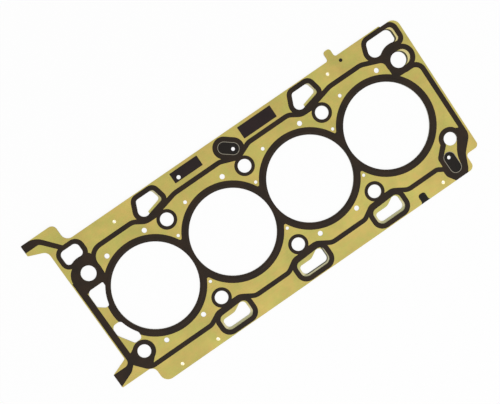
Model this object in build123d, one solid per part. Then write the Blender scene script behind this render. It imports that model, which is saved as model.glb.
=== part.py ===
from build123d import *
from math import sqrt
import os

# Cylinder head gasket of a four-cylinder engine, a stack of coated steel layers.
# Millimetres. X runs along the crankshaft, Y across the engine, Z up towards the head.
# The origin lies between the second and third bore, on the plane of the cylinder block.

# Driving dimensions of the bores and bolts
BORE_D = 85.5
BORE_LAND = 5.5             # sheet left between two bores
BORE_COUNT = 4
BOLT_D = 13.3
BOLT_ROW = 92.8             # distance between the two rows of bolt holes
DOWEL_BOLT_D = 15.2         # the upper left bolt hole, which also takes a dowel
OIL_BOLT_D = 15.8           # the upper right bolt hole, which also feeds oil
OIL_BOLT_SLOT = 4.4         # how far the upper layer's opening there is longer than round
OIL_BOLT_CARRIER_SLOT = 1.6 # the same for the carrier layer

# Driving dimensions of the sheet's outline
SHEET_WIDTH = 168.0
LEFT_END = 19.8             # from the end bolts to the left edge
RIGHT_END = 20.0            # from the end bolts to the right edge
EAR_REACH = 37.6            # from the end bolts to the tips of the arm and the foot
ARM_RISE = 20.1             # how far the arm stands above the long upper edge
FOOT_CLIMB = 20.2           # from the long lower edge up to the foot's underside
FOOT_TIP_H = 15.2           # from the foot's underside up to its tip's top
FOOT_ROOT_H = 22.0          # and up to where it joins the left edge
NEST_WIDTH = 7.8            # locating tab of the upper edge and its notch in the lower edge
NEST_HEIGHT = 9.6
NEST_FROM_END = 54.3        # from the right bolts to the middle of the tab and the notch
NEST_ROUND = 2.9
NEST_FLARE = 2.4

# Thickness of each layer, from the block upwards
PRINT_T = 0.06              # screen-printed elastomer
FUNCTION_T = 0.25           # each beaded spring steel layer, upper and lower
CARRIER_T = 0.70            # the layer between them, which sets the gasket's thickness
STOPPER_T = 0.10

# Sealing bead pressed into the two functional layers round each bore
BEAD_H = 0.20
BEAD_W = 2.6
BEAD_CREST_W = 1.2

# Widths of the printed network
BORE_SEAL_W = 7.25
BOLT_SEAL_W = 3.35
LINE_W = 4.8                # lines between the bolts
WINDOW_SEAL_W = 5.0         # rings round the windows
DOWEL_SEAL_W = 4.7          # ring round the dowel corner's window, which sits
DOWEL_SEAL_SHIFT = 0.4      # this far to the right of it
END_BAND_W = 6.5            # along the left edge
RIGHT_BAND_W = 5.1
EDGE_GAP = 1.0              # bare sheet left between an end band and the edge
END_WINDOW_LAND = 5.35      # sheet left between the first bore and the end windows

# Small openings
ORIFICE_D = 3.6             # oil restrictor in the floor of each pocket
VENT_D = 5.0                # coolant holes outside the bore rings, large and small
SMALL_VENT_D = 3.6
BRIDGE_VENT_D = 3.2         # coolant holes between two bores
VENT_OUT = 3.6              # from the bolt row out to the coolant holes
BRIDGE_VENT_Y = 27.3
CODE_HOLE_D = 4.0           # thickness code, through the short marking patch
CODE_HOLE_LEFT = 58.6       # from the middle bolts to the left
CODE_HOLE_IN = 10.7         # from the long upper edge
GAUGE_HOLE_D = 3.6          # in the upper layer only
GAUGE_HOLE_RIGHT = 6.8      # from the middle of the locating tab
GAUGE_HOLE_IN = 6.2         # from the long upper edge

# Marking patches, placed from the middle bolts and the long upper edge
SHORT_PATCH = (-64.4, -32.6)
LONG_PATCH = (14.7, 52.8)
PATCH_IN = 3.1
PATCH_ROUND = 0.6
SHORT_PATCH_GAP = 4.6       # from the printed line below it
LONG_PATCH_GAP = 2.7

# Oil pockets of the upper layer
POCKET_R = 5.6
POCKET_RIM_W = 0.5          # coined steel edge left unprinted
POCKET_RIM_H = 0.12
POCKET_SEAL_W = 4.9
FLOOR_UNDER = 1.0           # how far a printed floor reaches under the upper layer

# Layer rivets
RIVET_D = 2.6
RIVET_BORE_D = 1.9
RIVET_HEAD_D = 3.6
RIVET_HEAD_T = 0.10
UPPER_RIVET_IN = 10.8       # from the long upper edge
LOWER_RIVET_IN = 6.1        # from the long lower edge

# Stopper rings
STOPPER_W = 1.3

# Places worked out from the driving dimensions
BORE_R = BORE_D / 2
PITCH = BORE_D + BORE_LAND
BORE_X = [(i - (BORE_COUNT - 1) / 2) * PITCH for i in range(BORE_COUNT)]
BOLT_X = [(i - BORE_COUNT / 2) * PITCH for i in range(BORE_COUNT + 1)]
LEFT_X = BOLT_X[0]
RIGHT_X = BOLT_X[-1]
INNER_BOLT_X = BOLT_X[1:-1]
BOLT_Y = BOLT_ROW / 2
EDGE_Y = SHEET_WIDTH / 2
LEFT_EDGE = LEFT_X - LEFT_END
RIGHT_EDGE = RIGHT_X + RIGHT_END
EAR_TIP = LEFT_X - EAR_REACH
NEST_X = RIGHT_X - NEST_FROM_END
UPPER_LINE_Y = BOLT_Y + 16.55
LOWER_LINE_Y = -(BOLT_Y + 17.7)
LOWER_LEFT_LINE_Y = -(BOLT_Y + 16.7)
DOWEL_BOLT = (LEFT_X, BOLT_Y)
OIL_BOLT = (RIGHT_X, BOLT_Y)

# Heights of the layers' undersides, and of the upper layer's face
Z_LOWER = PRINT_T + BEAD_H
Z_CARRIER = Z_LOWER + FUNCTION_T
Z_STOPPER = Z_CARRIER + CARRIER_T
Z_UPPER = Z_STOPPER + STOPPER_T
Z_FACE = Z_UPPER + FUNCTION_T

# The layers, for openings that differ from one to the next
UPPER, CARRIER, LOWER = range(3)


def outline(corners):
    """A flat face from corners given as x, y and the radius that rounds them."""
    points = [(x, y) for x, y, _ in corners]
    radii = [r for _, _, r in corners]
    return make_face(FilletPolyline(*points, radius=radii, close=True))


def disc(x, y, diameter):
    return Pos(x, y) * Circle(diameter / 2)


def obround(start, end, radius):
    """A slot's outline: two round ends of one radius, joined by straight sides."""
    return make_face(offset(Line(start, end), radius, kind=Kind.ARC, side=Side.BOTH).edges())


def line(corners, width):
    """A printed line of constant width along a path of x, y and corner radius."""
    points = [(x, y) for x, y, _ in corners]
    radii = [r for _, _, r in corners[1:-1]]
    path = FilletPolyline(*points, radius=radii)
    return Sketch() + trace(path, line_width=width)


def rounded(face, near, radius):
    """Rounds the face's corner nearest a point."""
    corner = face.vertices().sort_by_distance((near[0], near[1], 0))[0]
    return fillet(corner, radius)


def plate(area, z, thickness):
    return Pos(0, 0, z) * extrude(area, thickness)


def all_of(shapes):
    shapes = list(shapes)
    return shapes[0] + shapes[1:] if len(shapes) > 1 else shapes[0]


# Outline of the sheet, shared by every layer

def sheet_area():
    arm_side = LEFT_X - 0.2
    arm_tip_low = EDGE_Y + 8.4
    arm_root = EDGE_Y + 1.2
    step_x = RIGHT_X + 1.2
    step_drop = 1.5
    right_foot_y = -(EDGE_Y - 15.7)
    right_foot_x = RIGHT_X + 4.5
    left_corner_x = LEFT_X - 0.9
    foot_y = -(EDGE_Y - FOOT_CLIMB)
    top = EDGE_Y
    body = outline([
        (EAR_TIP, top + ARM_RISE, 1.0),
        (arm_side, top + ARM_RISE, 5.5),
        (arm_side, top, 7.5),
        (step_x, top, 0.7),
        (step_x + 1.2, top - step_drop, 0.7),
        (RIGHT_EDGE, top - step_drop, 8.5),
        (RIGHT_EDGE, right_foot_y, 4.5),
        (right_foot_x, right_foot_y, 3.5),
        (right_foot_x, -EDGE_Y, 5.5),
        (left_corner_x, -EDGE_Y, 8.5),
        (left_corner_x, foot_y, 6.5),
        (EAR_TIP, foot_y, 1.0),
        (EAR_TIP, foot_y + FOOT_TIP_H, 1.0),
        (LEFT_EDGE, foot_y + FOOT_ROOT_H, 2.0),
        (LEFT_EDGE, arm_root, 7.0),
        (EAR_TIP, arm_tip_low, 1.0),
    ])
    return body + nest_shape(EDGE_Y)


def nest_shape(base_y):
    """The tab of the upper edge. The notch of the lower edge is cut to the same shape."""
    half = NEST_WIDTH / 2
    return outline([
        (NEST_X - half - 2 * NEST_FLARE, base_y - 1, 0),
        (NEST_X - half - 2 * NEST_FLARE, base_y, 0),
        (NEST_X - half, base_y, NEST_FLARE),
        (NEST_X - half, base_y + NEST_HEIGHT, NEST_ROUND),
        (NEST_X + half, base_y + NEST_HEIGHT, NEST_ROUND),
        (NEST_X + half, base_y, NEST_FLARE),
        (NEST_X + half + 2 * NEST_FLARE, base_y, 0),
        (NEST_X + half + 2 * NEST_FLARE, base_y - 1, 0),
    ])


# Windows for coolant and oil, each as it is cut in the upper layer and in the layers below

def upper_window(bolt_x, layer=UPPER):
    """Coolant window above an inner bolt hole. Below, it is narrower along its right and foot."""
    top = EDGE_Y - 5.9
    foot_left = BOLT_Y + 10.9
    foot_right = BOLT_Y + 18.5
    ledge_x = -10.4
    ledge = 2.0
    foot_ledge = 2.4
    if layer == UPPER:
        return Pos(bolt_x, 0) * outline([
            (-23.4, foot_left, 5.9),
            (-14.3, top, 3.5),
            (5.2, top, 3.5),
            (8.0, foot_right, 3.0),
        ])
    slope = (foot_right - foot_left) / (8.0 + 23.4)
    ledge_y = foot_left + slope * (ledge_x + 23.4)
    return Pos(bolt_x, 0) * outline([
        (-23.4, foot_left, 5.9),
        (-14.3, top, 3.5),
        (5.2 - ledge, top, 3.5),
        (8.0 - ledge, foot_right + foot_ledge, 3.0),
        (ledge_x, ledge_y + foot_ledge, 0.8),
        (ledge_x, ledge_y, 0),
    ])


def lower_window(bolt_x, layer=UPPER):
    """Oil return window under an inner bolt hole. Below, a lip shows along three of its sides."""
    left = -14.0
    right = 18.2
    top_left = -(BOLT_Y + 15.2)
    top_right = -(BOLT_Y + 13.7)
    foot = -(EDGE_Y - 5.7)
    if layer == UPPER:
        return Pos(bolt_x, 0) * outline([
            (left, top_left, 5.2),
            (right, top_right, 5.2),
            (right, foot, 6.2),
            (left, foot, 6.2),
        ])
    lip = 2.0
    foot_lip = 2.7
    deep_lip = 4.0
    shallow_lip = 0.8
    return Pos(bolt_x, 0) * outline([
        (left + lip, top_left - deep_lip, 3.0),
        (2.5, top_left - deep_lip, 8.0),
        (10.8, top_right - shallow_lip, 1.5),
        (right - lip, top_right - shallow_lip, 4.0),
        (right - lip, foot + foot_lip, 4.5),
        (left + lip, foot + foot_lip, 4.5),
    ])


def dowel_window():
    """Window of the upper left corner. Its foot follows the bolt hole's ring."""
    left = LEFT_X - 12.3
    right = LEFT_X + 7.9
    top = EDGE_Y - 6.2
    ring_r = 18.3
    box = outline([
        (left, BOLT_Y + 8, 0),
        (left, top, 4.8),
        (right, top, 5.0),
        (right, BOLT_Y + 8, 0),
    ])
    window = box - disc(*DOWEL_BOLT, 2 * ring_r)
    window = rounded(window, (left, BOLT_Y + 13.5), 3.8)
    return rounded(window, (right, BOLT_Y + 16.5), 4.2)


def oil_window(layer=UPPER):
    """Window of the upper right corner. Each layer below shows as a crescent at its right end."""
    left_foot = RIGHT_X - 24.2
    left_top = RIGHT_X - 17.9
    right = RIGHT_X + {UPPER: 12.0, CARRIER: 10.1, LOWER: 8.5}[layer]
    top = EDGE_Y - 6.0
    foot = BOLT_Y + 13.6
    ring_r = 18.0
    box = outline([
        (left_foot, foot, 7.0),
        (left_top, top, 4.5),
        (right, top, 4.5 if layer == UPPER else 6.0),
        (right, foot - 3, 0),
        (RIGHT_X - 3, foot - 3, 0),
        (RIGHT_X - 3, foot, 0),
    ])
    window = box - disc(*OIL_BOLT, 2 * ring_r)
    window = rounded(window, (RIGHT_X - 11.8, foot), 5.0)
    return rounded(window, (right, foot), 3.3)


def upper_end_window():
    """Coolant window left of the first bore, above its middle. One side follows the bore."""
    left = LEFT_X - 12.2
    right = LEFT_X + 6.2
    top = BOLT_Y - 14.5
    foot = 9.6
    box = outline([
        (left, top, 5.0),
        (right, top, 1.0),
        (right, foot, 0),
        (left + 6.6, foot, 2.5),
        (left, foot + 5.0, 2.5),
    ])
    window = box - disc(BORE_X[0], 0, BORE_D + 2 * END_WINDOW_LAND)
    window = rounded(window, (right, top - 4.4), 1.5)
    return rounded(window, (right - 7.9, foot), 2.2)


def lower_end_window():
    """Coolant window left of the first bore, below its middle. A short side limits its foot's round."""
    left = LEFT_X - 12.4
    right = LEFT_X + 6.2
    top = -8.8
    foot = -BOLT_Y + 11.6
    land_r = BORE_R + END_WINDOW_LAND
    shoulder = -sqrt(land_r ** 2 - (BORE_X[0] - right) ** 2)
    foot_round = min(3.8, 0.6 * (shoulder - foot))
    box = outline([
        (left, top, 5.0),
        (right, top, 0),
        (right, foot, foot_round),
        (left + 9.7, foot, 2.5),
        (left, top - 10.5, 6.0),
    ])
    window = box - disc(BORE_X[0], 0, 2 * land_r)
    window = rounded(window, (right, shoulder), 3.5)
    return rounded(window, (right - 8.0, top), 3.6)


def windows(layer=UPPER):
    shapes = [upper_window(BOLT_X[1], layer), upper_window(BOLT_X[-2], layer)]
    shapes += [lower_window(x, layer) for x in INNER_BOLT_X]
    shapes += [dowel_window(), oil_window(layer), upper_end_window(), lower_end_window()]
    return shapes


# Oil pockets: the upper layer is open there, the layers below have only a small orifice

MIDDLE_ORIFICE = (0.0, BOLT_Y + 19.7)
END_ORIFICE = (RIGHT_X - 11.2, -(BOLT_Y + 14.6))


def middle_pocket(radius):
    x, y = MIDDLE_ORIFICE
    return obround((x - 6.9, y + 5.8), (x + 0.3, y + 0.1), radius)


def end_pocket(radius):
    x, y = END_ORIFICE
    return obround((x + 0.3, y - 0.5), (x + 0.5, y - 11.3), radius)


def pockets(radius):
    return [middle_pocket(radius), end_pocket(radius)]


def orifices():
    return [disc(*MIDDLE_ORIFICE, ORIFICE_D), disc(*END_ORIFICE, ORIFICE_D)]


# Round holes

def bores():
    return [disc(x, 0, BORE_D) for x in BORE_X]


def bolt_holes(layer=UPPER):
    """Ten bolt holes. The oil-fed one is a slot, longest in the upper layer."""
    holes = [disc(x, BOLT_Y, BOLT_D) for x in INNER_BOLT_X]
    holes += [disc(x, -BOLT_Y, BOLT_D) for x in BOLT_X]
    holes.append(disc(*DOWEL_BOLT, DOWEL_BOLT_D))
    if layer == LOWER:
        holes.append(disc(*OIL_BOLT, OIL_BOLT_D))
    else:
        slot = OIL_BOLT_SLOT if layer == UPPER else OIL_BOLT_CARRIER_SLOT
        holes.append(obround(OIL_BOLT, (RIGHT_X + slot, BOLT_Y), OIL_BOLT_D / 2))
    return holes


def vents():
    """Coolant holes round the bores. Their place is given from the nearest bolt holes."""
    out = BOLT_Y + VENT_OUT
    near = 23.8
    holes = []
    for x in (LEFT_X + near, BOLT_X[1] - near, BOLT_X[2] - near, BOLT_X[3] - near,
              RIGHT_X - near):
        holes.append(disc(x, out, VENT_D))
    for x in (BOLT_X[1] + near, BOLT_X[2] + near, BOLT_X[3] + near):
        holes.append(disc(x, out, SMALL_VENT_D))
    for x in (LEFT_X + near, BOLT_X[1] - near, BOLT_X[2] + near, BOLT_X[3] - near):
        holes.append(disc(x, -out, VENT_D))
    for x in INNER_BOLT_X:
        holes.append(disc(x, BRIDGE_VENT_Y, BRIDGE_VENT_D))
        holes.append(disc(x, -BRIDGE_VENT_Y, BRIDGE_VENT_D))
    return holes


CODE_HOLE = (BOLT_X[2] - CODE_HOLE_LEFT, EDGE_Y - CODE_HOLE_IN)
GAUGE_HOLE = (NEST_X + GAUGE_HOLE_RIGHT, EDGE_Y - GAUGE_HOLE_IN)
RIVETS = [
    (LEFT_X + 48.6, EDGE_Y - UPPER_RIVET_IN),
    (BOLT_X[3] + 25.4, EDGE_Y - UPPER_RIVET_IN + 0.7),
    (LEFT_X + 23.0, -(EDGE_Y - LOWER_RIVET_IN)),
    (BOLT_X[1] - 25.9, -(EDGE_Y - LOWER_RIVET_IN)),
    (RIGHT_X - 29.5, -(EDGE_Y - LOWER_RIVET_IN)),
]


def rivet_holes():
    return [disc(x, y, RIVET_D) for x, y in RIVETS]


# Printed areas

def bore_rings():
    """The rings round the bores run into one another, with rounded corners between them."""
    rings = all_of(disc(x, 0, BORE_D + 2 * BORE_SEAL_W) for x in BORE_X)
    corners = rings.vertices().filter_by(lambda v: abs(v.Y) > 1)
    return fillet(corners, 1.5)


def upper_lines():
    """Lines from bolt to bolt above the bores. They dip under the windows to each bolt's ring."""
    dip = BOLT_Y + 9.5
    b1, b2, b3, b4, b5 = BOLT_X
    y = UPPER_LINE_Y

    def before_window(start, bolt):
        return start + [(bolt - 28.5, y, 12), (bolt - 17.5, dip, 12), (bolt - 5, dip, 0)]

    def after_window(bolt):
        return [(bolt - 8, BOLT_Y + 9.65, 0), (bolt + 20, y, 20)]

    yield line(before_window([(b1 + 10.8, BOLT_Y - 7, 0), (b1 + 10.8, y, 13.5)], b2), LINE_W)
    yield line(after_window(b2) + [(b3 - 18, y, 12), (b3, BOLT_Y + 9.8, 0)], LINE_W)
    yield line(before_window([(b3, BOLT_Y + 10.1, 0), (b3 + 15.5, y, 10)], b4), LINE_W)
    yield line(after_window(b4) + [(b5 - 34, y, 14), (b5 - 4, BOLT_Y + 4.8, 0)], LINE_W)


def lower_lines():
    """Lines from bolt to bolt below the bores. They rise over each oil return window."""
    rise = -(BOLT_Y + 10.6)
    crown = -(BOLT_Y + 9.3)
    b1, b2, b3, b4, b5 = BOLT_X
    first = LOWER_LEFT_LINE_Y
    y = LOWER_LINE_Y
    band_x = LEFT_X - 15.3

    def before_window(bolt, level):
        return [(bolt - 23, level, 10), (bolt - 11.3, rise, 8), (bolt + 1, rise, 0)]

    def after_window(bolt):
        return [(bolt + 1, crown, 0), (bolt + 15, crown, 9), (bolt + 28.5, y, 12)]

    left = [(band_x, -BOLT_Y + 6, 0), (band_x, -BOLT_Y - 3.1, 8), (b1 - 4, first, 10)]
    yield line(left + before_window(b2, first), LINE_W)
    yield line(after_window(b2) + before_window(b3, y), LINE_W)
    yield line(after_window(b3) + before_window(b4, y), LINE_W)
    yield line(after_window(b4) + [(b5 - 28, y, 6), (b5 - 20, y - 5, 0)], LINE_W)


def dowel_corner_print():
    """The solid field round the upper left bolt hole, down to the end window."""
    yield disc(*DOWEL_BOLT, 26.8)
    yield disc(LEFT_X - 2.2, BOLT_Y - 1.1, 31.4)
    yield disc(LEFT_X + 8.5, BOLT_Y + 12.8, 9.0)
    yield outline([
        (LEFT_EDGE + EDGE_GAP, BOLT_Y - 16, 0),
        (LEFT_EDGE + EDGE_GAP, BOLT_Y, 0),
        (LEFT_X + 13, BOLT_Y, 0),
        (LEFT_X + 13, BOLT_Y - 16, 0),
    ])


def oil_corner_print():
    """The solid field round the upper right bolt hole, with the band down the right edge."""
    ring_r = OIL_BOLT_D / 2 + 5.1
    band_x = RIGHT_EDGE - EDGE_GAP - 0.9 - RIGHT_BAND_W / 2
    turn_y = BOLT_Y - 12
    yield obround(OIL_BOLT, (RIGHT_X + OIL_BOLT_SLOT, BOLT_Y), ring_r)
    yield disc(*OIL_BOLT, 27.6)
    yield disc(RIGHT_X - 9.5, BOLT_Y + 10.5, 9.0)
    yield outline([
        (RIGHT_X - 13.4, turn_y - RIGHT_BAND_W / 2 + 0.8, 0),
        (RIGHT_X - 13.4, BOLT_Y, 0),
        (RIGHT_X + 9, BOLT_Y, 0),
        (RIGHT_X + 9, turn_y - RIGHT_BAND_W / 2, 0),
    ])
    yield line([(RIGHT_X, turn_y, 0), (band_x, turn_y, 9.0), (band_x, -BOLT_Y, 0)],
               RIGHT_BAND_W)


def left_band_print():
    """The band down the left edge, the ring of the lower left bolt and the foot's wedge."""
    outer = LEFT_EDGE + EDGE_GAP
    inner = outer + END_BAND_W
    beyond = EAR_TIP - 5
    foot_y = -(EDGE_Y - FOOT_CLIMB)
    wedge_top = foot_y + FOOT_TIP_H
    yield line([(outer + END_BAND_W / 2, BOLT_Y, 0), (outer + END_BAND_W / 2, 0, 0),
                (outer + END_BAND_W / 2, -BOLT_Y - 1, 0)], END_BAND_W)
    yield disc(LEFT_X, -BOLT_Y, 22.8)
    yield outline([
        (inner - 1, -BOLT_Y + 6.2, 0),
        (inner + 0.8, -BOLT_Y + 6.2, 0),
        (LEFT_X - 8, -BOLT_Y + 8.1, 0),
        (LEFT_X, -BOLT_Y, 0),
        (LEFT_X + 5.4, -BOLT_Y - 10.0, 0),
        (LEFT_X + 1.4, -BOLT_Y - 14.0, 0),
        (LEFT_X - 4, -BOLT_Y - 16.7, 0),
        (inner - 1, -BOLT_Y - 4, 0),
    ])
    yield outline([
        (beyond, wedge_top, 0),
        (outer, wedge_top, 5.0),
        (outer, wedge_top + 8.3, 0),
        (inner, wedge_top + 8.3, 0),
        (inner, wedge_top - 1.7, 0),
        (inner - 3.8, wedge_top - 2.7, 0),
        (LEFT_X - 21.5, wedge_top - 7.7, 8.0),
        (beyond, wedge_top - 16.1, 0),
    ])


def arm_print():
    """The line that runs out along the arm and widens to its tip."""
    beyond = EAR_TIP - 5
    top = EDGE_Y + ARM_RISE
    low = EDGE_Y + 11.8
    return outline([
        (beyond, top, 0),
        (LEFT_X - 22.5, top, 18.0),
        (LEFT_X - 4.5, EDGE_Y - 1.5, 0),
        (LEFT_X - 10.0, EDGE_Y - 2.5, 0),
        (LEFT_X - 22.4, low, 5.0),
        (beyond, low, 0),
    ])


def end_pocket_field():
    """The field round the lower right bolt and the end pocket, open along the oil channel."""
    beyond = -(EDGE_Y + 2)
    band_outer = RIGHT_EDGE - EDGE_GAP - 0.9
    field = outline([
        (RIGHT_X - 23.6, -(BOLT_Y + 19.6), 0),
        (RIGHT_X - 21.6, -(BOLT_Y + 18.0), 0),
        (RIGHT_X - 21.6, -(BOLT_Y + 9.8), 6.0),
        (RIGHT_X - 10.2, -(BOLT_Y - 2.0), 0),
        (RIGHT_X + 9.4, -(BOLT_Y - 6.2), 0),
        (RIGHT_X + 12.6, -(BOLT_Y - 4.8), 0),
        (band_outer, -(BOLT_Y - 4.8), 0),
        (band_outer, -(BOLT_Y + 6.9), 12.0),
        (RIGHT_X + 5.0, -(BOLT_Y + 20.6), 15.0),
        (RIGHT_X - 0.4, -(BOLT_Y + 33.5), 6.0),
        (RIGHT_X - 4.5, beyond, 0),
        (RIGHT_X - 16.3, beyond, 0),
        (RIGHT_X - 23.6, -(BOLT_Y + 28.8), 9.0),
    ])
    ring = disc(RIGHT_X, -BOLT_Y, 23.4)
    channel = outline([
        (RIGHT_X - 6.1, -BOLT_Y, 0),
        (RIGHT_X - 7.2, -(BOLT_Y + 3.1), 3.0),
        (RIGHT_X - 14.0, -(BOLT_Y + 9.6), 0),
        (RIGHT_X - 11.0, -(BOLT_Y + 20.0), 0),
        (RIGHT_X - 10.7, -(BOLT_Y + 26.0), 0),
        (RIGHT_X - 4.8, -(BOLT_Y + 28.2), 0),
        (RIGHT_X - 3.7, -(BOLT_Y + 20.1), 12.0),
        (RIGHT_X - 1.0, -(BOLT_Y + 13.6), 15.0),
        (RIGHT_X + 5.8, -(BOLT_Y + 3.1), 0),
        (RIGHT_X, -BOLT_Y, 0),
    ])
    return field + ring - channel


def seal_area():
    """The whole network, without its openings."""
    area = bore_rings()
    area += [disc(x, BOLT_Y, BOLT_D + 2 * BOLT_SEAL_W) for x in INNER_BOLT_X]
    area += [disc(x, -BOLT_Y, BOLT_D + 2 * BOLT_SEAL_W) for x in INNER_BOLT_X]
    rings = [upper_window(BOLT_X[1]), upper_window(BOLT_X[-2])]
    rings += [lower_window(x) for x in INNER_BOLT_X]
    rings.append(oil_window())
    area += [offset(w, WINDOW_SEAL_W, kind=Kind.ARC) for w in rings]
    dowel_ring = offset(dowel_window(), DOWEL_SEAL_W, kind=Kind.ARC)
    area += Pos(DOWEL_SEAL_SHIFT, 0) * dowel_ring
    area += middle_pocket(POCKET_R + POCKET_RIM_W + POCKET_SEAL_W)
    area += list(upper_lines())
    area += list(lower_lines())
    area += list(dowel_corner_print())
    area += list(oil_corner_print())
    area += list(left_band_print())
    area += arm_print()
    area += end_pocket_field()
    area = rounded(area, (RIGHT_X - 12.6, BOLT_Y + 6), 6.0)
    return area & sheet_area()


def patch_area(left, right, low_gap):
    """A plain marking rectangle between the upper line and the edge."""
    top = EDGE_Y - PATCH_IN
    low = UPPER_LINE_Y + LINE_W / 2 + low_gap
    corners = [(left, low), (left, top), (right, top), (right, low)]
    return outline([(BOLT_X[2] + x, y, PATCH_ROUND) for x, y in corners])


# Layers

def openings(layer=UPPER):
    shapes = bores() + bolt_holes(layer) + windows(layer) + vents() + rivet_holes()
    shapes.append(disc(*CODE_HOLE, CODE_HOLE_D))
    if layer == UPPER:
        shapes += pockets(POCKET_R)
        shapes.append(nest_notch())
        shapes.append(disc(*GAUGE_HOLE, GAUGE_HOLE_D))
    else:
        shapes += orifices()
    return shapes


def nest_notch():
    """The tab's own shape, moved down to the lower edge and run out past it."""
    return Pos(0, -2 * EDGE_Y) * nest_shape(EDGE_Y)


def bead_rings(height=BEAD_H):
    """One pressed ridge round each bore, standing on z = 0. Neighbours merge between two bores."""
    middle = PITCH / 2
    profile = Plane.XZ * Polygon(
        (middle - BEAD_W / 2, 0),
        (middle + BEAD_W / 2, 0),
        (middle + BEAD_CREST_W / 2, height),
        (middle - BEAD_CREST_W / 2, height),
        align=None,
    )
    ring = revolve(profile, Axis.Z)
    return all_of(Pos(x, 0, 0) * ring for x in BORE_X)


def turned_over(solid):
    return mirror(solid, Plane.XY)


def upper_functional_layer():
    """Spring steel with its beads pressed up towards the head."""
    area = sheet_area() - openings()
    beads = bead_rings()
    layer = plate(area, Z_UPPER, FUNCTION_T)
    layer += Pos(0, 0, Z_FACE) * beads
    layer -= Pos(0, 0, Z_UPPER) * beads
    for inner, outer in zip(pockets(POCKET_R), pockets(POCKET_R + POCKET_RIM_W)):
        layer += plate(outer - inner, Z_FACE, POCKET_RIM_H)
    return layer


def upper_seal_print():
    """The elastomer follows the bead like a skin."""
    area = seal_area() - openings() - pockets(POCKET_R + POCKET_RIM_W)
    beads = bead_rings()
    layer = plate(area, Z_FACE, PRINT_T)
    layer += Pos(0, 0, Z_FACE + PRINT_T) * beads
    return layer - Pos(0, 0, Z_FACE) * beads


def lower_functional_layer():
    """Spring steel with its beads pressed down towards the block."""
    area = sheet_area() - openings(LOWER)
    beads = turned_over(bead_rings())
    layer = plate(area, Z_LOWER, FUNCTION_T)
    layer += Pos(0, 0, Z_LOWER) * beads
    return layer - Pos(0, 0, Z_CARRIER) * beads


def lower_seal_print():
    area = seal_area() - openings(LOWER)
    beads = turned_over(bead_rings())
    layer = plate(area, Z_LOWER - PRINT_T, PRINT_T)
    layer += Pos(0, 0, Z_LOWER - PRINT_T) * beads
    return layer - Pos(0, 0, Z_LOWER) * beads


def carrier_layer():
    """The thick plain sheet between the two functional layers."""
    return plate(sheet_area() - openings(CARRIER), Z_CARRIER, CARRIER_T)


def stopper_ring(x):
    """A thin steel ring welded round one bore on top of the carrier layer."""
    ring = disc(x, 0, BORE_D + 2 * STOPPER_W) - disc(x, 0, BORE_D)
    return plate(ring, Z_STOPPER, STOPPER_T)


def layer_rivets():
    """Hollow rivets that hold the stack together outside the sealing lines."""
    rivets = []
    for x, y in RIVETS:
        shank = plate(disc(x, y, RIVET_D), Z_LOWER, Z_FACE - Z_LOWER)
        low = plate(disc(x, y, RIVET_HEAD_D), Z_LOWER - RIVET_HEAD_T, RIVET_HEAD_T)
        high = plate(disc(x, y, RIVET_HEAD_D), Z_FACE, RIVET_HEAD_T)
        bore = plate(disc(x, y, RIVET_BORE_D), 0, 2 * Z_FACE)
        rivets.append(shank + low + high - bore)
    return Compound(children=[r.solid() for r in rivets])


# Print of the carrier layer, which shows through four openings of the upper layer

def floor_print(area):
    return plate(area, Z_STOPPER, PRINT_T)


def notch_floor():
    field = offset(nest_notch(), FLOOR_UNDER, kind=Kind.ARC)
    return floor_print(field & sheet_area())


# Marking patches

def patch(sides, low_gap):
    left, right = sides
    return plate(patch_area(left, right, low_gap), Z_FACE, PRINT_T)


def short_marking_patch():
    hole = plate(disc(*CODE_HOLE, CODE_HOLE_D), Z_FACE, PRINT_T)
    return patch(SHORT_PATCH, SHORT_PATCH_GAP) - hole


def long_marking_patch():
    return patch(LONG_PATCH, LONG_PATCH_GAP)


def parts():
    middle_orifice, end_orifice = orifices()
    floor_r = POCKET_R + FLOOR_UNDER
    yield "upper_functional_layer", upper_functional_layer()
    yield "upper_seal_print", upper_seal_print()
    yield "short_marking_patch", short_marking_patch()
    yield "long_marking_patch", long_marking_patch()
    yield "carrier_layer", carrier_layer()
    yield "middle_pocket_print", floor_print(middle_pocket(floor_r) - middle_orifice)
    yield "end_pocket_print", floor_print(end_pocket(floor_r) - end_orifice)
    yield "notch_print", notch_floor()
    yield "gauge_hole_print", floor_print(disc(*GAUGE_HOLE, GAUGE_HOLE_D + 2 * FLOOR_UNDER))
    for number, x in enumerate(BORE_X, start=1):
        yield f"stopper_ring_{number}", stopper_ring(x)
    yield "lower_functional_layer", lower_functional_layer()
    yield "lower_seal_print", lower_seal_print()
    yield "layer_rivets", layer_rivets()


os.makedirs("parts", exist_ok=True)
for name, shape in parts():
    export_step(shape, f"parts/{name}.step")
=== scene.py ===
import bmesh
import bpy
import math
from mathutils import Matrix, Vector


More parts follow.
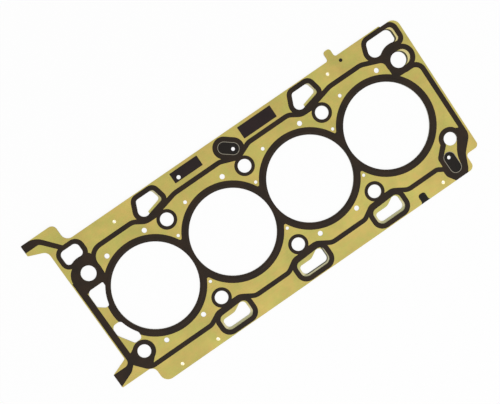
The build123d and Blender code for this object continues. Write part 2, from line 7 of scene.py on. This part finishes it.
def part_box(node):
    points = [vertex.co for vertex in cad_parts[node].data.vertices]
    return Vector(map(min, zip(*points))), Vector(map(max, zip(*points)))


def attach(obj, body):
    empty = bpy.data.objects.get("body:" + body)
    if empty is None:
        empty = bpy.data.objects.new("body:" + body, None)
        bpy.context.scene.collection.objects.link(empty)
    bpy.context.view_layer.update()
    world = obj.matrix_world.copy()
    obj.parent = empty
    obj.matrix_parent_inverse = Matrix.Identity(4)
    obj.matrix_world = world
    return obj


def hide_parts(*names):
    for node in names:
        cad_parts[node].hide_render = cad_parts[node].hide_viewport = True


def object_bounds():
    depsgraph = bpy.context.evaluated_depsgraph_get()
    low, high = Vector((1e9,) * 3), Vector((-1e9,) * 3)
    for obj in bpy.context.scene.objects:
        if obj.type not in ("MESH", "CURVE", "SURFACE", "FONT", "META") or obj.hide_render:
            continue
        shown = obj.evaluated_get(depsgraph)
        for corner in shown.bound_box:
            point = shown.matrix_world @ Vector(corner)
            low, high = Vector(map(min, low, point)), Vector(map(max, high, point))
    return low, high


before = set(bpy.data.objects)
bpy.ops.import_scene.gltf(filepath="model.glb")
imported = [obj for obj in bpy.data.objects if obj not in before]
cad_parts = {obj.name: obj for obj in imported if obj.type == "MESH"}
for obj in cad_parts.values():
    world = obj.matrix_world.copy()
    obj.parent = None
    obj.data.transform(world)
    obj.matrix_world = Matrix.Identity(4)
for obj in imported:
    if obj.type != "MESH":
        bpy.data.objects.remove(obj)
cad_box = [list(corner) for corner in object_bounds()]


# Lower seal print: the network on the block side. Fluoroelastomer paste, screen printed
# on the steel and cured. It dries matt and faintly brown, with the screen's fine grain.

MM = 0.001
NOISE_SPAN = (0.3, 0.7)     # nearly all of a noise lies between these
PRINT_TONES = ("#1E150C", "#2A1D10")
PRINT_CLOUD = 14.0          # mm, slow change of tone
PRINT_GRAIN = 0.9           # mm, the screen's mesh is finer, drawn this coarse to show
PRINT_GRAIN_SHARE = 0.35    # of the change in tone, beside the cloud's
PRINT_RAMP = (0.38, 0.62)   # where the noise gives the first tone, and the second
PRINT_ROUGHNESS = (0.56, 0.72)
PRINT_RELIEF = (0.7, 0.06)  # strength, and height in mm
PRINT_IOR = 1.40
PRINT_SPECULAR = 0.3        # low, so that the paste looks matt


def colour(code):
    """A linear colour from its sRGB hex value."""
    parts = [int(code[i:i + 2], 16) / 255 for i in (1, 3, 5)]
    linear = [c / 12.92 if c <= 0.04045 else ((c + 0.055) / 1.055) ** 2.4 for c in parts]
    return (*linear, 1.0)


def add(material, kind, inputs=None, **settings):
    """One node with its settings. A value in inputs that is a socket is linked."""
    tree = material.node_tree
    node = tree.nodes.new(kind)
    for name, value in settings.items():
        setattr(node, name, value)
    for socket, value in (inputs or {}).items():
        if isinstance(value, bpy.types.NodeSocket):
            tree.links.new(value, node.inputs[socket])
        else:
            node.inputs[socket].default_value = value
    return node


def new_material(name):
    material = bpy.data.materials.new(name)
    material.use_nodes = True
    material.node_tree.nodes.clear()
    return material


def dress(node, material):
    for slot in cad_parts[node].material_slots:
        slot.material = material


def per_metre(size_mm):
    """The Scale of a texture whose features are this size."""
    return 1 / (size_mm * MM)


def printed_elastomer(name, dark, light):
    material = new_material(name)
    place = add(material, "ShaderNodeTexCoord").outputs["Object"]
    cloud = add(material, "ShaderNodeTexNoise",
                {"Vector": place, "Scale": per_metre(PRINT_CLOUD), "Detail": 3.0})
    grain = add(material, "ShaderNodeTexNoise",
                {"Vector": place, "Scale": per_metre(PRINT_GRAIN), "Detail": 4.0,
                 "Roughness": 0.7})
    both = add(material, "ShaderNodeMix",
               {"Factor": PRINT_GRAIN_SHARE, 2: cloud.outputs["Fac"], 3: grain.outputs["Fac"]},
               data_type="FLOAT")
    tone = add(material, "ShaderNodeValToRGB", {"Fac": both.outputs[0]})
    tone.color_ramp.elements[0].position = PRINT_RAMP[0]
    tone.color_ramp.elements[0].color = colour(dark)
    tone.color_ramp.elements[1].position = PRINT_RAMP[1]
    tone.color_ramp.elements[1].color = colour(light)
    gloss = add(material, "ShaderNodeMapRange",
                {"Value": grain.outputs["Fac"], "From Min": NOISE_SPAN[0],
                 "From Max": NOISE_SPAN[1], "To Min": PRINT_ROUGHNESS[0],
                 "To Max": PRINT_ROUGHNESS[1]})
    relief = add(material, "ShaderNodeBump",
                 {"Height": grain.outputs["Fac"], "Strength": PRINT_RELIEF[0],
                  "Distance": PRINT_RELIEF[1] * MM})
    surface = add(material, "ShaderNodeBsdfPrincipled",
                  {"Base Color": tone.outputs["Color"], "Roughness": gloss.outputs[0],
                   "IOR": PRINT_IOR, "Specular IOR Level": PRINT_SPECULAR,
                   "Normal": relief.outputs["Normal"]})
    add(material, "ShaderNodeOutputMaterial", {"Surface": surface.outputs[0]})
    return material


seal_elastomer = printed_elastomer("screen_printed_fluoroelastomer", *PRINT_TONES)
dress("lower_seal_print", seal_elastomer)


# Lower functional layer: cold-rolled stainless spring steel, lacquered gold, then stamped
# and beaded. Rolling leaves faint streaks, and the lacquer pools in clouds of olive and
# tan. Punching leaves the edges bare, bright where the punch cut, dull where the steel tore.

GOLD_OLIVE = "#B5AD56"
GOLD_TAN = "#C1A959"
GOLD_METALLIC = 0.35        # the lacquer hides most of the steel's own shine
GOLD_ROUGHNESS = 0.42
ROUGHNESS_CHANGE = (-0.05, 0.07)    # as the mottling goes
GOLD_CLOUD = 26.0           # mm, clouds of the lacquer
GOLD_MOTTLE = 5.5           # mm, the smaller mottling
MOTTLE_SHARE = 0.45         # of the change in tone, beside the clouds'
STREAK_SHARE = 0.24         # beside both
GOLD_RAMP = (0.41, 0.59)    # where the noise gives olive, and tan
GOLD_DEPTH = (48.0, 0.86, 1.12)     # mm, slow change of the coat's depth, and its shade
ROLLING = (70.0, 1.1)       # mm, streaks along and across, drawn coarse to show
LACQUER_GRAIN = 0.6         # mm
LACQUER_RELIEF = (0.8, 0.15)        # strength, and height in mm, half streaks, half grain
FACE_FROM = (0.35, 0.6)     # how upright the normal is, from an edge to a face
SHEARED_EDGE = ("#86877C", "#BDBEB2")    # torn below, cut above
CUT_FROM = (0.5, 0.68)      # share of the sheet's thickness
CUT_RAGGED = 0.3            # share of it by which the border between the two wanders
SHEET_T = 0.25              # mm
INNER_FACE_SHADE = "#423E25"      # painted shade: the upward face, seen deep in the stack at the oil-fed bolt hole
INNER_FROM = (0.4, 0.6)     # how far the normal points up there


def lacquered_steel(name, olive, tan, metallic, roughness, underside, thickness):
    material = new_material(name)
    coords = add(material, "ShaderNodeTexCoord")
    place = coords.outputs["Object"]
    cloud = add(material, "ShaderNodeTexNoise",
                {"Vector": place, "Scale": per_metre(GOLD_CLOUD), "Detail": 3.0,
                 "Distortion": 0.6})
    mottle = add(material, "ShaderNodeTexNoise",
                 {"Vector": place, "Scale": per_metre(GOLD_MOTTLE), "Detail": 5.0,
                  "Roughness": 0.6})
    along, across = ROLLING
    strip = add(material, "ShaderNodeMapping",
                {"Vector": place, "Scale": (per_metre(along), per_metre(across), 1.0)})
    streaks = add(material, "ShaderNodeTexNoise",
                  {"Vector": strip.outputs[0], "Scale": 1.0, "Detail": 3.0})
    grain = add(material, "ShaderNodeTexNoise",
                {"Vector": place, "Scale": per_metre(LACQUER_GRAIN), "Detail": 2.0})
    slow = add(material, "ShaderNodeMix",
               {"Factor": MOTTLE_SHARE, 2: cloud.outputs["Fac"], 3: mottle.outputs["Fac"]},
               data_type="FLOAT")
    tone = add(material, "ShaderNodeMix",
               {"Factor": STREAK_SHARE, 2: slow.outputs[0], 3: streaks.outputs["Fac"]},
               data_type="FLOAT")
    ramp = add(material, "ShaderNodeValToRGB", {"Fac": tone.outputs[0]})
    ramp.color_ramp.elements[0].position = GOLD_RAMP[0]
    ramp.color_ramp.elements[0].color = colour(olive)
    ramp.color_ramp.elements[1].position = GOLD_RAMP[1]
    ramp.color_ramp.elements[1].color = colour(tan)
    size, thick, thin = GOLD_DEPTH
    depth = add(material, "ShaderNodeTexNoise",
                {"Vector": place, "Scale": per_metre(size), "Detail": 5.0, "Roughness": 0.68})
    shade = add(material, "ShaderNodeMapRange",
                {"Value": depth.outputs["Fac"], "From Min": NOISE_SPAN[0],
                 "From Max": NOISE_SPAN[1], "To Min": thick, "To Max": thin})
    coat = add(material, "ShaderNodeHueSaturation",
               {"Color": ramp.outputs["Color"], "Value": shade.outputs[0]})
    height = add(material, "ShaderNodeSeparateXYZ", {"Vector": place})
    ragged = add(material, "ShaderNodeMath",
                 {0: mottle.outputs["Fac"], 1: CUT_RAGGED * thickness,
                  2: height.outputs["Z"]}, operation="MULTIPLY_ADD")
    torn, cut = (underside + (share + CUT_RAGGED / 2) * thickness for share in CUT_FROM)
    bright = add(material, "ShaderNodeMapRange",
                 {"Value": ragged.outputs[0], "From Min": torn, "From Max": cut})
    edge = add(material, "ShaderNodeMix",
               {"Factor": bright.outputs[0], 6: colour(SHEARED_EDGE[0]),
                7: colour(SHEARED_EDGE[1])}, data_type="RGBA")
    normal = add(material, "ShaderNodeSeparateXYZ", {"Vector": coords.outputs["Normal"]})
    upright = add(material, "ShaderNodeMath", {0: normal.outputs["Z"]}, operation="ABSOLUTE")
    face = add(material, "ShaderNodeMapRange",
               {"Value": upright.outputs[0], "From Min": FACE_FROM[0],
                "From Max": FACE_FROM[1]})
    paint = add(material, "ShaderNodeMix",
                {"Factor": face.outputs[0], 6: edge.outputs[2], 7: coat.outputs["Color"]},
                data_type="RGBA", name="coat_or_edge")
    gloss = add(material, "ShaderNodeMapRange",
                {"Value": mottle.outputs["Fac"], "From Min": NOISE_SPAN[0],
                 "From Max": NOISE_SPAN[1], "To Min": roughness + ROUGHNESS_CHANGE[0],
                 "To Max": roughness + ROUGHNESS_CHANGE[1]})
    rolled = add(material, "ShaderNodeMix",
                 {"Factor": 0.5, 2: streaks.outputs["Fac"], 3: grain.outputs["Fac"]},
                 data_type="FLOAT")
    relief = add(material, "ShaderNodeBump",
                 {"Height": rolled.outputs[0], "Strength": LACQUER_RELIEF[0],
                  "Distance": LACQUER_RELIEF[1] * MM})
    surface = add(material, "ShaderNodeBsdfPrincipled",
                  {"Base Color": paint.outputs[2], "Metallic": metallic,
                   "Roughness": gloss.outputs[0], "Normal": relief.outputs["Normal"]})
    add(material, "ShaderNodeOutputMaterial", {"Surface": surface.outputs[0]})
    return material


def lay_over(material, mask, tone):
    """Another tone of the coat, or painted shade over it, where mask is 1. The bare edges
    stay.
    """
    coat = material.node_tree.nodes["coat_or_edge"].inputs[7]
    under = coat.links[0].from_socket
    both = add(material, "ShaderNodeMix", {"Factor": mask, 6: under, 7: colour(tone)},
               data_type="RGBA")
    material.node_tree.links.new(both.outputs[2], coat)


carrier_low, carrier_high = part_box("carrier_layer")
lower_steel = lacquered_steel("gold_lacquered_spring_steel_below", GOLD_OLIVE, GOLD_TAN,
                              GOLD_METALLIC, GOLD_ROUGHNESS,
                              carrier_low.z - SHEET_T * MM, SHEET_T * MM)
# Painted shade: every upward face of this layer lies under the carrier, and it is drawn dark
# where it shows.
coords = add(lower_steel, "ShaderNodeTexCoord")
normal = add(lower_steel, "ShaderNodeSeparateXYZ", {"Vector": coords.outputs["Normal"]})
shaded_inside = add(lower_steel, "ShaderNodeMapRange",
             {"Value": normal.outputs["Z"], "From Min": INNER_FROM[0],
              "From Max": INNER_FROM[1]})
lay_over(lower_steel, shaded_inside.outputs[0], INNER_FACE_SHADE)
dress("lower_functional_layer", lower_steel)


# Carrier layer: a thicker plain sheet between the beaded two, in the same gold lacquer. It
# shows as lips in the windows. The coat is paler towards the long edges and the right end.
# At the foot it is darker, which is painted shade. In the middle oil return window its lip
# carries painted shade too: darkest in a band along its rim, less dark beyond.

CARRIER_OLIVE = "#B0B05C"
CARRIER_TAN = "#BBAB60"
CARRIER_METALLIC = 0.40
CARRIER_ROUGHNESS = 0.40
CARRIER_TONES_AND_SHADE = [           # axis, where the tone starts and is full in mm, colour
    ("Y", 64.0, 71.0, "#BAB28C"),
    ("Y", -64.0, -71.0, "#C4BB8F"),
    # painted shade on the foot lips, under the upper layer's edge
    ("Y", -74.4, -75.6, "#A09D74"),
    ("X", 187.0, 189.0, "#D2C484"),
]
# Painted shade on the lip of the middle oil return window, darkest along its rim.
LIP_SHADE_TONES = [("#3E3C2B", 0.0), ("#ABA684", 1.05)]   # and how far from the rim, in mm
LIP_MIDDLE = 2.1            # mm along X, the middle of that window
LIP_CORNERS = (9.6, -71.1)  # mm, centres of the rim's round corners, aside and along Y
LIP_ROUND = 4.5             # mm
LIP_FROM = (-12.0, -8.0)    # mm along X, the tones come up round the left corner
LIP_TO = 36.0               # mm along X, short of the next window

carrier_steel = lacquered_steel("gold_lacquered_carrier_steel", CARRIER_OLIVE, CARRIER_TAN,
                                CARRIER_METALLIC, CARRIER_ROUGHNESS,
                                carrier_low.z, carrier_high.z - carrier_low.z)
coords = add(carrier_steel, "ShaderNodeTexCoord")
place = add(carrier_steel, "ShaderNodeSeparateXYZ", {"Vector": coords.outputs["Object"]})
for axis, start, full, tone in CARRIER_TONES_AND_SHADE:
    mask = add(carrier_steel, "ShaderNodeMapRange",
               {"Value": place.outputs[axis], "From Min": start * MM, "From Max": full * MM})
    lay_over(carrier_steel, mask.outputs[0], tone)

# The lip's painted shade follows its rim. A point's reach is how far it lies past the box of
# the corners' centres, so it is the corners' radius all along the rim.
aside = add(carrier_steel, "ShaderNodeMath", {0: place.outputs["X"], 1: LIP_MIDDLE * MM},
            operation="SUBTRACT")
aside = add(carrier_steel, "ShaderNodeMath", {0: aside.outputs[0]}, operation="ABSOLUTE")
past_side = add(carrier_steel, "ShaderNodeMath",
                {0: aside.outputs[0], 1: LIP_CORNERS[0] * MM}, operation="SUBTRACT")
past_side = add(carrier_steel, "ShaderNodeMath", {0: past_side.outputs[0], 1: 0.0},
                operation="MAXIMUM")
past_foot = add(carrier_steel, "ShaderNodeMath",
                {0: LIP_CORNERS[1] * MM, 1: place.outputs["Y"]}, operation="SUBTRACT")
past_foot = add(carrier_steel, "ShaderNodeMath", {0: past_foot.outputs[0], 1: 0.0},
                operation="MAXIMUM")
past_both = add(carrier_steel, "ShaderNodeCombineXYZ",
                {"X": past_side.outputs[0], "Y": past_foot.outputs[0]})
reach = add(carrier_steel, "ShaderNodeVectorMath", {0: past_both.outputs[0]},
            operation="LENGTH")
begun = add(carrier_steel, "ShaderNodeMapRange",
            {"Value": place.outputs["X"], "From Min": LIP_FROM[0] * MM,
             "From Max": LIP_FROM[1] * MM})
before_end = add(carrier_steel, "ShaderNodeMath", {0: place.outputs["X"], 1: LIP_TO * MM},
                 operation="LESS_THAN")
stretch = add(carrier_steel, "ShaderNodeMath", {0: before_end.outputs[0], 1: begun.outputs[0]},
              operation="MULTIPLY")
for tone, from_rim in LIP_SHADE_TONES:
    lip = add(carrier_steel, "ShaderNodeMath",
              {0: reach.outputs["Value"], 1: (LIP_ROUND + from_rim) * MM},
              operation="GREATER_THAN")
    mask = add(carrier_steel, "ShaderNodeMath", {0: lip.outputs[0], 1: stretch.outputs[0]},
               operation="MULTIPLY")
    lay_over(carrier_steel, mask.outputs[0], tone)
dress("carrier_layer", carrier_steel)


# Stopper rings: thin stainless shims welded to the carrier round each bore, which keep
# the beads from being crushed flat. Bare, bright rolled, seen only edge on in the bores.

RING_TONES = ("#B9BAB6", "#CACBC8")
RING_ROUGHNESS = 0.30
STEEL_GRAIN = 0.8           # mm
STEEL_RAMP = (0.35, 0.65)   # where the noise gives the first tone, and the second
STEEL_ROUGHNESS_CHANGE = (-0.06, 0.08)


def bare_steel(name, dark, light, roughness):
    material = new_material(name)
    place = add(material, "ShaderNodeTexCoord").outputs["Object"]
    grain = add(material, "ShaderNodeTexNoise",
                {"Vector": place, "Scale": per_metre(STEEL_GRAIN), "Detail": 3.0})
    ramp = add(material, "ShaderNodeValToRGB", {"Fac": grain.outputs["Fac"]})
    ramp.color_ramp.elements[0].position = STEEL_RAMP[0]
    ramp.color_ramp.elements[0].color = colour(dark)
    ramp.color_ramp.elements[1].position = STEEL_RAMP[1]
    ramp.color_ramp.elements[1].color = colour(light)
    gloss = add(material, "ShaderNodeMapRange",
                {"Value": grain.outputs["Fac"], "From Min": NOISE_SPAN[0],
                 "From Max": NOISE_SPAN[1], "To Min": roughness + STEEL_ROUGHNESS_CHANGE[0],
                 "To Max": roughness + STEEL_ROUGHNESS_CHANGE[1]})
    surface = add(material, "ShaderNodeBsdfPrincipled",
                  {"Base Color": ramp.outputs["Color"], "Metallic": 1.0,
                   "Roughness": gloss.outputs[0]})
    add(material, "ShaderNodeOutputMaterial", {"Surface": surface.outputs[0]})
    return material


ring_steel = bare_steel("cold_rolled_stainless_steel", *RING_TONES, RING_ROUGHNESS)
for number in range(1, 5):
    dress(f"stopper_ring_{number}", ring_steel)


# Floors of the two oil pockets, the nesting notch and the gauge hole: the same paste,
# printed on the carrier. It lies deeper and is drawn darker than the network above, as
# painted shade.

RECESS_SHADE_TONES = ("#0D0804", "#150E07")

shaded_recess_elastomer = printed_elastomer("printed_fluoroelastomer_floor_in_painted_shade", *RECESS_SHADE_TONES)
for name in ("middle_pocket_print", "end_pocket_print", "notch_print", "gauge_hole_print"):
    dress(name, shaded_recess_elastomer)


# Upper functional layer: the twin of the lower one, beaded towards the head. The rims of
# its two oil pockets are coined up and left bare of print, and the coat on them is drawn
# a dull brown grey.

COINED_RIM = "#8E8878"
RIM_FROM = (0.025, 0.040)   # mm above the sheet's plain face

upper_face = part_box("long_marking_patch")[0].z
upper_steel = lacquered_steel("gold_lacquered_spring_steel", GOLD_OLIVE, GOLD_TAN,
                              GOLD_METALLIC, GOLD_ROUGHNESS,
                              upper_face - SHEET_T * MM, SHEET_T * MM)
coords = add(upper_steel, "ShaderNodeTexCoord")
place = add(upper_steel, "ShaderNodeSeparateXYZ", {"Vector": coords.outputs["Object"]})
raised = add(upper_steel, "ShaderNodeMapRange",
             {"Value": place.outputs["Z"], "From Min": upper_face + RIM_FROM[0] * MM,
              "From Max": upper_face + RIM_FROM[1] * MM})
lay_over(upper_steel, raised.outputs[0], COINED_RIM)
dress("upper_functional_layer", upper_steel)


# Upper seal print: the black network of the face, in the same screen-printed paste. It
# runs over the beads like a skin and leaves the oil pockets' rims bare.

dress("upper_seal_print", seal_elastomer)


# Marking patches: two plain rectangles of black marking ink, thinner and cooler than the
# seal paste. They carry no marks here.

INK_TONES = ("#1A100F", "#231615")

marking_ink = printed_elastomer("black_marking_ink", *INK_TONES)
for name in ("short_marking_patch", "long_marking_patch"):
    dress(name, marking_ink)


# Layer rivets: small hollow eyelets of nickel-plated steel, set through all three sheets
# and rolled over at both ends, so each head is a smooth round collar, bright and warm.

EYELET_TONES = ("#F2E6B6", "#FFF6D4")
EYELET_ROUGHNESS = 0.25
RIVETS = [(-133.4, 73.2), (116.4, 73.9), (-159.0, -77.9), (-116.9, -77.9), (152.5, -77.9)]
EYELET_BORE_R = 0.95        # mm, as the sizes below
EYELET_SHANK_R = 1.28
EYELET_COLLAR_R = 1.78
EYELET_ROLL_H = 0.10
EYELET_PROFILE_TOP = [      # radius, and height over the sheet, round the roll to the bore
    (EYELET_SHANK_R, -0.02),
    (EYELET_COLLAR_R - 0.06, 0.0),
    (EYELET_COLLAR_R, 0.03),
    (EYELET_COLLAR_R - 0.07, 0.075),
    (EYELET_SHANK_R + 0.1, EYELET_ROLL_H),
    (EYELET_BORE_R + 0.12, EYELET_ROLL_H - 0.015),
    (EYELET_BORE_R + 0.02, 0.02),
    (EYELET_BORE_R, -0.08),
]
EYELET_STEPS = 24
EYELET_WELD = 0.001         # mm, closer points become one

rivet_low, rivet_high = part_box("layer_rivets")


def eyelet(mesh, x, y):
    top = rivet_high.z / MM - EYELET_ROLL_H
    bottom = rivet_low.z / MM + EYELET_ROLL_H
    outline = [(r, top + h) for r, h in EYELET_PROFILE_TOP]
    outline += [(r, bottom - h) for r, h in reversed(EYELET_PROFILE_TOP)]
    ring = [mesh.verts.new(((x + r) * MM, y * MM, z * MM)) for r, z in outline]
    edges = [mesh.edges.new((a, b)) for a, b in zip(ring, ring[1:] + ring[:1])]
    bmesh.ops.spin(mesh, geom=ring + edges, cent=(x * MM, y * MM, 0), axis=(0, 0, 1),
                   angle=2 * math.pi, steps=EYELET_STEPS, use_merge=True)


eyelet_mesh = bmesh.new()
for x, y in RIVETS:
    eyelet(eyelet_mesh, x, y)
bmesh.ops.remove_doubles(eyelet_mesh, verts=eyelet_mesh.verts, dist=EYELET_WELD * MM)
bmesh.ops.recalc_face_normals(eyelet_mesh, faces=eyelet_mesh.faces)
for face in eyelet_mesh.faces:
    face.smooth = True
eyelet_data = bpy.data.meshes.new("layer_eyelets")
eyelet_mesh.to_mesh(eyelet_data)
eyelet_mesh.free()
eyelets = bpy.data.objects.new("layer_eyelets", eyelet_data)
bpy.context.scene.collection.objects.link(eyelets)
eyelet_steel = bare_steel("nickel_plated_eyelet_steel", *EYELET_TONES, EYELET_ROUGHNESS)
eyelets.data.materials.append(eyelet_steel)
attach(eyelets, "root")
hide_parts("layer_rivets")


# Floor: a plain white sheet. The camera and reflections see it almost at paper white,
# and it keeps part of the gasket's own soft shadow.

FLOOR_SIZE = 6.0            # m
FLOOR_GAP = 0.02            # mm under the gasket
FLOOR_WHITE = "#F3F3F3"
FLOOR_GLOW = 0.90           # share of the floor's white that no shadow can darken
PURE_WHITE = "#FFFFFF"


def seen_straight(material):
    """1 for what the camera sees, straight, mirrored or through glass, and else 0."""
    rays = add(material, "ShaderNodeLightPath")
    mirrored = add(material, "ShaderNodeMath",
                   {0: rays.outputs["Is Camera Ray"], 1: rays.outputs["Is Glossy Ray"]},
                   operation="MAXIMUM")
    through = add(material, "ShaderNodeMath",
                  {0: mirrored.outputs[0], 1: rays.outputs["Is Transmission Ray"]},
                  operation="MAXIMUM")
    return through.outputs[0]


floor_mesh = bmesh.new()
bmesh.ops.create_grid(floor_mesh, x_segments=1, y_segments=1, size=FLOOR_SIZE / 2)
floor_data = bpy.data.meshes.new("floor")
floor_mesh.to_mesh(floor_data)
floor_mesh.free()
floor = bpy.data.objects.new("floor", floor_data)
floor.location.z = cad_box[0][2] - FLOOR_GAP * MM
bpy.context.scene.collection.objects.link(floor)
paper = new_material("white_paper_floor")
matt = add(paper, "ShaderNodeBsdfDiffuse", {"Color": colour(FLOOR_WHITE)})
glow = add(paper, "ShaderNodeEmission", {"Color": colour(PURE_WHITE), "Strength": 1.0})
share = add(paper, "ShaderNodeMath", {0: seen_straight(paper), 1: FLOOR_GLOW},
            operation="MULTIPLY")
blend = add(paper, "ShaderNodeMixShader",
            {"Fac": share.outputs[0], 1: matt.outputs[0], 2: glow.outputs[0]})
add(paper, "ShaderNodeOutputMaterial", {"Surface": blend.outputs[0]})
floor.data.materials.append(paper)


# Studio light: an even white sky and one large soft lamp, beyond the long edge with the
# notch. Seen straight or in a reflection, the sky is plain white.

SKY_LIGHT = 0.7
LAMP_POWER = 58.0           # W
LAMP_SIZE = 2.6             # m
LAMP_PLACE = Vector((0.3, -2.5, 2.4))   # m, and it faces the gasket

world = bpy.data.worlds.new("studio_sky")
world.use_nodes = True
world.node_tree.nodes.clear()
strength = add(world, "ShaderNodeMapRange",
               {"Value": seen_straight(world), "To Min": SKY_LIGHT, "To Max": 1.0})
sky = add(world, "ShaderNodeBackground",
          {"Color": colour(PURE_WHITE), "Strength": strength.outputs[0]})
add(world, "ShaderNodeOutputWorld", {"Surface": sky.outputs[0]})
bpy.context.scene.world = world

lamp_data = bpy.data.lights.new("soft_lamp", "AREA")
lamp_data.energy = LAMP_POWER
lamp_data.size = LAMP_SIZE
lamp = bpy.data.objects.new("soft_lamp", lamp_data)
lamp.location = LAMP_PLACE
lamp.rotation_euler = (-LAMP_PLACE).to_track_quat("-Z", "Y").to_euler()
bpy.context.scene.collection.objects.link(lamp)


# Camera: above the gasket, almost straight down, turned so that the row of bores rises
# to the right.

CAMERA_LENS = 50.0          # mm, as the sensor
CAMERA_SENSOR = 36.0
CAMERA_REACH = (0.01, 20.0)     # m
CAMERA_PLACE = Vector((-32.24, 67.23, 672.29)) * MM
CAMERA_AHEAD = Vector((0.02484, -0.07828, -0.99662)).normalized()
CAMERA_UP = Vector((0.56823, 0.82133, -0.05035))

camera_data = bpy.data.cameras.new("camera")
camera_data.lens = CAMERA_LENS
camera_data.sensor_width = CAMERA_SENSOR
camera_data.clip_start, camera_data.clip_end = CAMERA_REACH
camera = bpy.data.objects.new("camera", camera_data)
side = CAMERA_AHEAD.cross(CAMERA_UP).normalized()
up = side.cross(CAMERA_AHEAD).normalized()
turn = Matrix((side, up, -CAMERA_AHEAD)).transposed()
camera.matrix_world = Matrix.Translation(CAMERA_PLACE) @ turn.to_4x4()
bpy.context.scene.collection.objects.link(camera)
bpy.context.scene.camera = camera
bpy.context.scene.view_settings.view_transform = "Standard"
